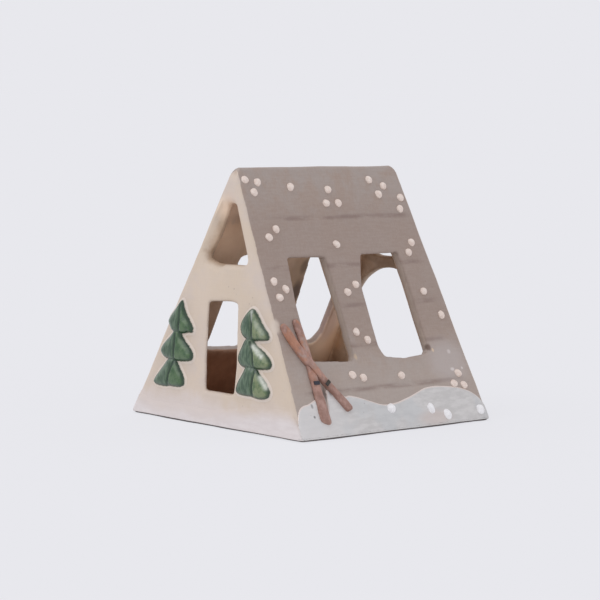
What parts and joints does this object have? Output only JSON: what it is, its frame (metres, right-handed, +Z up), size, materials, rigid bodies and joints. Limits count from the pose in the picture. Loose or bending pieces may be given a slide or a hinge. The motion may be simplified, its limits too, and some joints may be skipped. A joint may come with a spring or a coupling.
{
  "type": "tealight house",
  "caption": "Slab-built stoneware house with steep roofs to the table, windows, door and a back arch, holding a tealight that slides out.",
  "frame": {"origin": "middle of the base, on the surface that the house stands on", "axes": "+Z up; the front gable with the door faces -Y; the roof with the skis faces +X; the back arch opens to +Y"},
  "size_m": [0.1146, 0.117, 0.1125],
  "materials": {
    "cream_stoneware": "satin matt cream glaze",
    "taupe_stoneware": "matt, finely speckled",
    "brown_stoneware": "bare fired clay",
    "green_glaze": "glossy, pooled",
    "ski_clay": "matt stained clay",
    "black_glaze": "satin",
    "white_slip": "satin raised slip",
    "snow_glaze": "satin glaze",
    "cup_foil": "bright rolled",
    "candle_wax": "waxy, slightly see-through",
    "wick_cotton": "waxed cotton",
    "tab_steel": "thin pressed sheet"
  },
  "bodies": {
    "house": {"floor_plate": "brown_stoneware", "front_gable": "cream_stoneware", "back_gable": "cream_stoneware", "right_roof": "taupe_stoneware", "left_roof": "taupe_stoneware", "fir_tree_left": "green_glaze", "fir_tree_right": "green_glaze", "ski_upright": "ski_clay", "ski_crossing": "ski_clay", "ski_bindings": "black_glaze", "snow_dots_right": "white_slip", "snow_dots_left": "white_slip", "snow_drift_right": "snow_glaze", "snow_drift_left": "snow_glaze", "snow_bank_front": "snow_glaze"},
    "tealight": {"tealight_cup": "cup_foil", "tealight_wax": "candle_wax", "tealight_wick": "wick_cotton", "wick_tab": "tab_steel"}
  },
  "joints": [
    {"name": "tealight_slide", "type": "slide", "parent": "house", "child": "tealight", "axis": [0, 1, 0], "range_m": [0, 0.085]}
  ]
}
